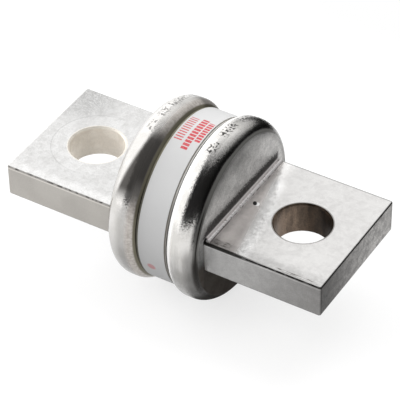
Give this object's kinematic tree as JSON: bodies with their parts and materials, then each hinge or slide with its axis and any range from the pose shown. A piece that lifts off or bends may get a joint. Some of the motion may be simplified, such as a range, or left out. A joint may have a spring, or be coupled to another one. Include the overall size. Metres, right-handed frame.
{
  "type": "class t fuse",
  "caption": "Short round cartridge fuse with rolled metal end bells, an insulating barrel with a label band, and a thick flat bolt-hole blade at each end.",
  "frame": {"origin": "middle of the fuse's body, on its axis, halfway between the two bell faces", "axes": "+X along the fuse's axis from one blade to the other, +Y across the blades' width, +Z normal to the blades and along the terminal bolts"},
  "size_m": [0.0778, 0.0412, 0.0412],
  "materials": {
    "silver_plated_copper": "satin silver plate with fine scratches",
    "tin_plated_brass": "soft polished tin plate, brushed on the flat face",
    "glass_melamine": "matte laminate, olive brown",
    "label_paper": "matte white with simple red bars",
    "solder": "dull tin solder",
    "copper": "bare copper",
    "fibre": "pressed fibre",
    "quartz_sand": "packed fine sand"
  },
  "bodies": {
    "root": {"barrel": "glass_melamine", "label": "label_paper", "filler_plug": "fibre", "sand_filler": "quartz_sand", "end_bell_left": "tin_plated_brass", "end_bell_right": "tin_plated_brass", "terminal_blade_left": "silver_plated_copper", "terminal_blade_right": "silver_plated_copper", "contact_plate_left": "copper", "contact_plate_right": "copper", "gasket_left": "fibre", "gasket_right": "fibre", "solder_bead_left_top": "solder", "solder_bead_left_bottom": "solder", "solder_bead_right_top": "solder", "solder_bead_right_bottom": "solder", "fuse_element_1": "copper", "fuse_element_2": "copper", "fuse_element_3": "copper", "fuse_element_4": "copper", "fuse_element_5": "copper", "fuse_element_6": "copper"}
  },
  "joints": []
}
